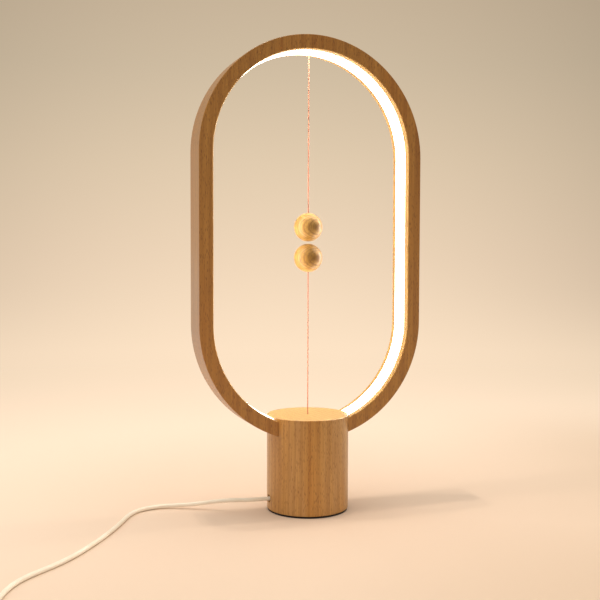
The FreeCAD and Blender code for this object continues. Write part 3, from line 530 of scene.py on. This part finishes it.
# Lead: the free cord on the table, its put-away coil and its end with the plug. Lengths are in millimetres.
lead = {
    "diameter": 3.5,
    "rest": 1.8,
    "route": [(-33.5, 0.0, 11.0), (-50.0, 0.0, 11.0), (-71.0, 14.0, 9.2), (-95.0, 30.0, 3.4),
              (-122.0, 41.0, 1.8), (-146.0, 32.0, 1.8), (-163.0, -5.0, 1.8), (-187.0, -45.0, 1.8),
              (-213.0, -80.0, 1.8), (-248.0, -108.0, 1.8)],
    "coilCentre": (-297.0, -168.0),
    "coilStart": math.radians(162.0),
    "floorTurn": 0.5,
    "coilLeadIn": 30.0,
    "layers": 4,
    "turnsPerLayer": 2,
    "pitch": 4.1,
    "middle": 19.6,
    "change": 0.25,
    "pointsPerTurn": 24,
    "tailRun": 32.0,
    "tailStart": 0.25,
    "tailSteps": [(1.0, 0.25), (1.6, 0.0), (1.93, 0.0)],
    "plugHeight": 4.0,
    "length": 1.501,  # in metres
    "bevelSteps": 4,
    "curveSteps": 4,
}


# After half a turn on the table the coil spirals in and out again, layer on layer. It climbs at each return,
# over a share of a turn on both sides of it.
def coilPoint(turns):
    turning = max(1, min(lead["layers"] - 1, round(turns / lead["turnsPerLayer"])))
    past = turns - turning * lead["turnsPerLayer"]
    change = lead["change"]
    depth = abs(past) if abs(past) >= change else past * past / (2 * change) + change / 2
    halfBand = lead["turnsPerLayer"] * lead["pitch"] / 2
    outward = 1 if turning % 2 else -1
    radius = lead["middle"] + outward * (lead["pitch"] * depth - halfBand)
    climb = max(0.0, min(1.0, (past + change) / (2 * change)))
    layer = turning - 1 + climb * climb * (3 - 2 * climb)
    angle = lead["coilStart"] - 2 * math.pi * turns
    return Vector((lead["coilCentre"][0] + radius * math.cos(angle),
                   lead["coilCentre"][1] + radius * math.sin(angle),
                   lead["rest"] + lead["pitch"] * layer))


# Which way the coil runs at a number of turns.
def coilWay(turns):
    little = 1e-4
    return (coilPoint(turns + little) - coilPoint(turns - little)).normalized()


def leadPoints():
    turns = lead["layers"] * lead["turnsPerLayer"]
    first = -lead["floorTurn"]
    startWay = coilWay(first)
    endWay = coilWay(turns)
    start = coilPoint(first) - startWay * lead["diameter"]
    end = coilPoint(turns) + endWay * lead["diameter"]
    points = [Vector(point) for point in lead["route"]]
    points += [start - startWay * lead["coilLeadIn"], start]
    steps = round((turns - first) * lead["pointsPerTurn"])
    points += [coilPoint(first + k / lead["pointsPerTurn"]) for k in range(steps + 1)]
    drop = end.z - lead["plugHeight"]
    level = Vector((endWay.x, endWay.y, 0)).normalized()
    foot = Vector((end.x, end.y, lead["plugHeight"]))
    points += [end, end + endWay * (lead["tailRun"] * lead["tailStart"])]
    for run, share in lead["tailSteps"]:
        points.append(foot + level * (lead["tailRun"] * run) + Vector((0, 0, drop * share)))
    return [point * mm for point in points]


def makeLead():
    line = bpy.data.curves.new("supplyLead", "CURVE")
    line.dimensions = "3D"
    spline = line.splines.new("NURBS")
    points = leadPoints()
    spline.points.add(len(points) - 1)
    for place, point in zip(spline.points, points):
        place.co = (*point, 1.0)
    spline.order_u = 3
    spline.use_endpoint_u = True
    spline.resolution_u = lead["curveSteps"]
    line.bevel_depth = lead["diameter"] * mm / 2
    line.bevel_resolution = lead["bevelSteps"]
    line.use_fill_caps = True
    line.materials.append(slotFinishes["lead_jacket"])
    piece = bpy.data.objects.new("supplyLead", line)
    bpy.context.scene.collection.objects.link(piece)
    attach(piece, "lamp")
    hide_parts("power_cord", "cord_coil", "cord_tail")


makeLead()
print("lead laid")

# The ring's own light: soft lamps close over the cover, facing into the ring as its chips do.
glow = {
    "radius": 84.6 * mm,
    "width": 15.0 * mm,
    "step": 27.0 * mm,
    "lowEnd": math.radians(60.0),
    "colour": (255, 244, 226),
    "radiance": 14.0,
    "spread": math.radians(140.0),
}


def addGlow(centre, inward, length):
    data = bpy.data.lights.new("ringGlow", "AREA")
    data.shape = "RECTANGLE"
    data.size, data.size_y = length, glow["width"]
    data.spread = glow["spread"]
    data.color = paint(*glow["colour"])[:3]
    data.energy = math.pi * glow["radiance"] * length * glow["width"]
    lamp = bpy.data.objects.new("ringGlow", data)
    lamp.visible_camera = False
    bpy.context.scene.collection.objects.link(lamp)
    depth = Vector((0, 1, 0))
    turn = Matrix((depth.cross(-inward), depth, -inward)).transposed().to_4x4()
    lamp.matrix_world = Matrix.Translation(centre) @ turn


# Lamps along both arcs of the ring and up its two straight sides.
def makeGlow():
    lower, upper = ringCentres

    def arc(centreZ, first, last):
        count = round(abs(last - first) * glow["radius"] / glow["step"])
        part = (last - first) / count
        for k in range(count):
            angle = first + (k + 0.5) * part
            outward = Vector((math.cos(angle), 0, math.sin(angle)))
            addGlow(Vector((0, 0, centreZ)) + outward * glow["radius"], -outward, abs(part) * glow["radius"])

    arc(upper, 0, math.pi)
    arc(lower, -glow["lowEnd"], 0)
    arc(lower, math.pi, math.pi + glow["lowEnd"])
    straight = upper - lower
    count = round(straight / glow["step"])
    for side in (-1, 1):
        for k in range(count):
            height = lower + straight * (k + 0.5) / count
            addGlow(Vector((side * glow["radius"], 0, height)), Vector((-side, 0, 0)), straight / count)


makeGlow()

# Two small ceiling lamps almost overhead, each a place and a power. They throw the ring's short, clear shadow
# beside the base.
ceiling = {
    "lamps": [((-0.10, 0.02, 1.35), 7.4), ((-0.18, 0.125, 1.81), 12.4)],
    "radius": 9 * mm,
    "colour": (255, 238, 216),
}


def makeCeiling():
    for centre, power in ceiling["lamps"]:
        data = bpy.data.lights.new("ceilingLamp", "POINT")
        data.energy = power
        data.shadow_soft_size = ceiling["radius"]
        data.color = paint(*ceiling["colour"])[:3]
        lamp = bpy.data.objects.new("ceilingLamp", data)
        bpy.context.scene.collection.objects.link(lamp)
        lamp.location = centre


makeCeiling()
print("lamps on")

# Camera: where the photograph was taken from, and the directions to the right and up in its picture.
camera = {
    "place": (-0.27671, -0.73123, 0.21644),
    "right": (0.93839, -0.34557, 0.00289),
    "up": (0.01354, 0.04514, 0.99889),
    "lens": 54.87,
    "sensor": 36.0,
    "nearest": 0.01,
    "farthest": 60.0,
}


def makeCamera():
    data = bpy.data.cameras.new("photoCamera")
    data.sensor_width = camera["sensor"]
    data.lens = camera["lens"]
    data.clip_start = camera["nearest"]
    data.clip_end = camera["farthest"]
    eye = bpy.data.objects.new("photoCamera", data)
    bpy.context.scene.collection.objects.link(eye)
    right = Vector(camera["right"]).normalized()
    up = Vector(camera["up"])
    up = (up - right * up.dot(right)).normalized()
    back = right.cross(up)
    turn = Matrix((right, up, back)).transposed().to_4x4()
    eye.matrix_world = Matrix.Translation(camera["place"]) @ turn
    bpy.context.scene.camera = eye


makeCamera()
print("camera placed")

# Surroundings: what the camera sees behind the lamp by the height of the look, and the soft light they give.
roomLook = {
    "heights": [(-0.40, (250, 224, 194)), (-0.10, (254, 228, 198)), (0.0, (240, 215, 186)),
                (0.10, (226, 204, 175)), (0.20, (208, 189, 162)), (0.30, (196, 176, 150))],
    "middle": -0.03, "falloff": 1.9, "mostFall": 0.3, "lowFall": 0.45, "fallRange": (-0.14, -0.02),
    "light": (255, 246, 230), "front": 0.50, "sides": 0.94, "sideRange": (-0.9, 0.4),
    "overhead": 0.36, "overheadRange": (0.3, 1.0), "frontShine": 0.12, "shineRange": (-0.6, 0.35),
}


# The backdrop's colour by how high a look goes.
def wallColour(finish, z):
    lowest, highest = roomLook["heights"][0][0], roomLook["heights"][-1][0]
    reach = highest - lowest
    stops = [((height - lowest) / reach, paint(*colour)) for height, colour in roomLook["heights"]]
    return finish.node("ValToRGB", {"stops": stops}, {"Fac": (z - lowest) / reach})


# The same colour as the picture shows it, darker towards both sides.
def backdrop(finish, side, z):
    aside = side - roomLook["middle"]
    fall = finish.maths("MINIMUM", aside * aside * roomLook["falloff"], roomLook["mostFall"])
    high = finish.rise(z, *roomLook["fallRange"])
    fall = fall * (high * (1 - roomLook["lowFall"]) + roomLook["lowFall"])
    return finish.dimmed(wallColour(finish, z), 1 - fall)


# How bright the surroundings light the lamp by direction: less from in front.
def lightLevel(finish, y):
    beside = finish.rise(y, *roomLook["sideRange"])
    return beside * (roomLook["sides"] - roomLook["front"]) + roomLook["front"]


def makeRoom():
    world = bpy.data.worlds.new("paleRoom")
    world.use_nodes = True
    bpy.context.scene.world = world
    finish = Finish("paleRoom", world.node_tree)
    x, y, z = finish.split(finish.node("TexCoord", out="Generated"))
    rightX, rightY = camera["right"][:2]
    shown = backdrop(finish, x * rightX + y * rightY, z)
    level = lightLevel(finish, y) + finish.rise(z, *roomLook["overheadRange"]) * roomLook["overhead"]
    shine = finish.rise(y, *roomLook["shineRange"]) * (1 - roomLook["frontShine"]) + roomLook["frontShine"]
    mirrored = finish.dimmed(wallColour(finish, z), shine)
    light = finish.node("Background", sockets={"Color": finish.dimmed(paint(*roomLook["light"])[:3], level)})
    reflected = finish.node("Background", sockets={"Color": mirrored})
    show = finish.node("Background", sockets={"Color": shown})
    eye, glossy, through = finish.node("LightPath",
                                       out=("Is Camera Ray", "Is Glossy Ray", "Is Transmission Ray"))
    sharp = finish.maths("MAXIMUM", glossy, through)
    bounced = finish.node("MixShader", sockets={0: sharp, 1: light, 2: reflected})
    mixed = finish.node("MixShader", sockets={0: eye, 1: bounced, 2: show})
    finish.node("OutputWorld", sockets={"Surface": mixed})


makeRoom()

# Floor: pale by the lamp, where painted shade darkens it to temper the ring's light; dimmer to the right and
# in front with painted shade; and like the backdrop from a metre away.
floorLook = {
    "radius": 30.0, "sides": 96,
    "colour": (250, 232, 218), "worn": (248, 229, 212), "wear": 0.4, "wearScale": (3, 3, 3),
    "near": (228, 206, 189), "nearEnd": 0.45,
    "dim": (196, 172, 148), "dimRange": (0.06, 0.42), "dimMost": 0.55, "corner": 0.8,
    "dimBackRange": (-0.60, -0.20),
    "fadeRange": (0.2, 1.1), "eyeDepth": 0.782,
}


# Camera rays see the backdrop on the far floor, and other rays find there the light of the surroundings.
def farFloor(finish, aside, ahead, towardBack):
    depth = finish.maths("ABSOLUTE", ahead) + floorLook["eyeDepth"]
    look = finish.node("CombineXYZ", sockets={0: aside, 1: depth, 2: -camera["place"][2]})
    side, height = finish.split(finish.node("VectorMath", {"operation": "NORMALIZE"}, {0: look}))[::2]
    show = finish.node("Emission", sockets={"Color": backdrop(finish, side, height)})
    level = lightLevel(finish, towardBack)
    light = finish.node("Emission", sockets={"Color": finish.dimmed(paint(*roomLook["light"])[:3], level)})
    eye = finish.node("LightPath", out="Is Camera Ray")
    return finish.node("MixShader", sockets={0: eye, 1: light, 2: show})


def makeFloor():
    finish = Finish("paleFloor")
    place = finish.place()
    x, y = finish.split(place)[:2]
    away = finish.node("VectorMath", {"operation": "LENGTH"}, {0: place}, out="Value")
    mottle = finish.noise(place, floorLook["wearScale"])
    tone = finish.blend(mottle * floorLook["wear"], paint(*floorLook["colour"]), paint(*floorLook["worn"]))
    # painted shade: darker colour near the lamp, in place of less of the ring's light there
    tone = finish.blend(finish.rise(away, 0.0, floorLook["nearEnd"]), paint(*floorLook["near"]), tone)
    rightX, rightY = camera["right"][:2]
    aside = x * rightX + y * rightY
    ahead = x * rightY - y * rightX
    # painted shade: the floor is painted darker to the right and in front, most at the front right
    corner = ahead + finish.maths("MAXIMUM", aside, 0.0) * floorLook["corner"]
    dim = finish.rise(finish.maths("MAXIMUM", aside, corner), *floorLook["dimRange"])
    dim = dim * finish.rise(ahead, *floorLook["dimBackRange"])
    tone = finish.blend(dim * floorLook["dimMost"], tone, paint(*floorLook["dim"]))
    solid = finish.node("BsdfDiffuse", sockets={"Color": tone})
    far = farFloor(finish, aside, ahead, y / away)
    fade = finish.rise(away, *floorLook["fadeRange"])
    mixed = finish.node("MixShader", sockets={0: fade, 1: solid, 2: far})
    finish.node("OutputMaterial", sockets={"Surface": mixed})
    radius, sides = floorLook["radius"], floorLook["sides"]
    turns = [2 * math.pi * k / sides for k in range(sides)]
    mesh = bpy.data.meshes.new("floor")
    mesh.from_pydata([(radius * math.cos(turn), radius * math.sin(turn), 0.0) for turn in turns], [],
                     [tuple(range(sides))])
    mesh.materials.append(finish.material)
    floor = bpy.data.objects.new("floor", mesh)
    bpy.context.scene.collection.objects.link(floor)
    return floor


# The ring's soft lamps leave the floor to the glow of the cover, the only light of the ring that falls there.
def keepGlowOff(piece):
    apart = bpy.data.collections.new("floorApart")
    apart.objects.link(piece)
    apart.collection_objects[0].light_linking.link_state = "EXCLUDE"
    for lamp in bpy.context.scene.objects:
        if lamp.type == "LIGHT" and lamp.data.type == "AREA":
            lamp.light_linking.receiver_collection = apart


keepGlowOff(makeFloor())
print("room and floor made")

bpy.context.scene.view_settings.view_transform = "Standard"
